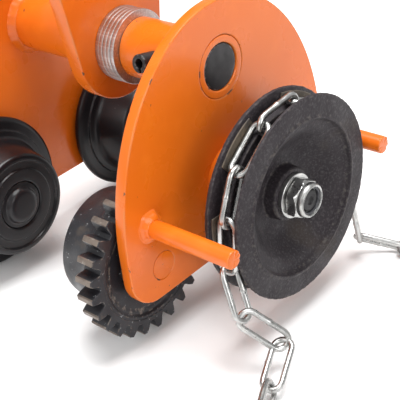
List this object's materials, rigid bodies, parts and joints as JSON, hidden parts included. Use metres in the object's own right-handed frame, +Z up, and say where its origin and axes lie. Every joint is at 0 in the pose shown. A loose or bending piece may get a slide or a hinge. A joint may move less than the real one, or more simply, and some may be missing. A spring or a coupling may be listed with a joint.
{
  "type": "beam trolley",
  "caption": "Geared beam trolley: flanged wheels on side plates, a crossbar with a swinging load hanger, and a chain-driven hand wheel with a pinion.",
  "frame": {"origin": "on the floor, midway between the outermost faces along X and between the wheels along Y, free chain not counted", "axes": "+X along the crossbar towards the hand chain wheel, +Y along the beam, +Z up as the trolley stands on its wheels with the hanger above, upside down against its working position"},
  "size_m": [0.5289, 0.2584, 0.3117],
  "materials": {
    "orange_paint": "satin powder coat",
    "black_gloss": "gloss black paint",
    "gear_iron": "dark blued casting with cut teeth",
    "cast_iron": "rough as cast",
    "black_steel": "black oxide",
    "zinc_plate": "bright zinc plate",
    "bright_steel": "ground steel",
    "bronze": "turned bronze"
  },
  "bodies": {
    "trolley_frame": {"near_side_plate": "orange_paint", "far_side_plate": "orange_paint", "near_sleeve": "orange_paint", "far_sleeve": "orange_paint", "suspension_shaft": "black_steel", "near_lock_pin": "black_steel", "far_lock_pin": "black_steel", "near_washer_1": "zinc_plate", "near_washer_2": "zinc_plate", "near_washer_3": "zinc_plate", "near_washer_4": "zinc_plate", "near_washer_5": "zinc_plate", "far_washer_1": "zinc_plate", "far_washer_2": "zinc_plate", "far_washer_3": "zinc_plate", "far_washer_4": "zinc_plate", "far_washer_5": "zinc_plate", "front_guide_rod": "orange_paint", "back_guide_rod": "orange_paint", "drive_bush": "bronze", "near_front_axle": "black_steel", "near_front_inner_race": "bright_steel", "near_front_circlip": "black_steel", "near_back_axle": "black_steel", "near_back_inner_race": "bright_steel", "near_back_circlip": "black_steel", "far_front_axle": "black_steel", "far_front_inner_race": "bright_steel", "far_front_circlip": "black_steel", "far_back_axle": "black_steel", "far_back_inner_race": "bright_steel", "far_back_circlip": "black_steel", "chain_link_1": "zinc_plate", "chain_link_2": "zinc_plate", "chain_link_3": "zinc_plate", "chain_link_4": "zinc_plate", "chain_link_5": "zinc_plate", "chain_link_6": "zinc_plate", "chain_link_7": "zinc_plate", "chain_front_strand": "zinc_plate", "chain_back_strand": "zinc_plate", "chain_coil": "zinc_plate"},
    "hand_wheel": {"hand_chain_wheel": "cast_iron", "drive_shaft": "black_steel", "drive_key": "bright_steel", "hand_wheel_washer": "zinc_plate", "lock_nut": "zinc_plate"},
    "near_front_wheel": {"near_front_geared_wheel": "gear_iron", "near_front_outer_race": "bright_steel", "near_front_hub_cap": "black_gloss"},
    "near_back_wheel": {"near_back_geared_wheel": "gear_iron", "near_back_outer_race": "bright_steel", "near_back_hub_cap": "black_gloss"},
    "far_front_wheel": {"far_front_plain_wheel": "black_gloss", "far_front_outer_race": "bright_steel", "far_front_hub_cap": "black_gloss"},
    "far_back_wheel": {"far_back_plain_wheel": "black_gloss", "far_back_outer_race": "bright_steel", "far_back_hub_cap": "black_gloss"},
    "hanger": {"hanger_plate": "orange_paint"}
  },
  "joints": [
    {"name": "hand_wheel_spin", "type": "hinge", "parent": "trolley_frame", "child": "hand_wheel", "pos_m": [0.08, 0, 0.0872], "axis": [1, 0, 0], "continuous": true},
    {"name": "near_front_wheel_spin", "type": "hinge", "parent": "trolley_frame", "child": "near_front_wheel", "pos_m": [0.025, -0.072, 0.0572], "axis": [1, 0, 0], "continuous": true},
    {"name": "near_back_wheel_spin", "type": "hinge", "parent": "trolley_frame", "child": "near_back_wheel", "pos_m": [0.025, 0.072, 0.0572], "axis": [1, 0, 0], "continuous": true},
    {"name": "far_front_wheel_spin", "type": "hinge", "parent": "trolley_frame", "child": "far_front_wheel", "pos_m": [-0.092, -0.072, 0.0572], "axis": [1, 0, 0], "continuous": true},
    {"name": "far_back_wheel_spin", "type": "hinge", "parent": "trolley_frame", "child": "far_back_wheel", "pos_m": [-0.092, 0.072, 0.0572], "axis": [1, 0, 0], "continuous": true},
    {"name": "hanger_swing", "type": "hinge", "parent": "trolley_frame", "child": "hanger", "pos_m": [-0.0332, 0, 0.1642], "axis": [1, 0, 0], "continuous": true}
  ],
  "couplings": [
    {"joint": "near_front_wheel_spin", "follows": "hand_wheel_spin", "ratio": -0.56},
    {"joint": "near_back_wheel_spin", "follows": "hand_wheel_spin", "ratio": -0.56}
  ]
}
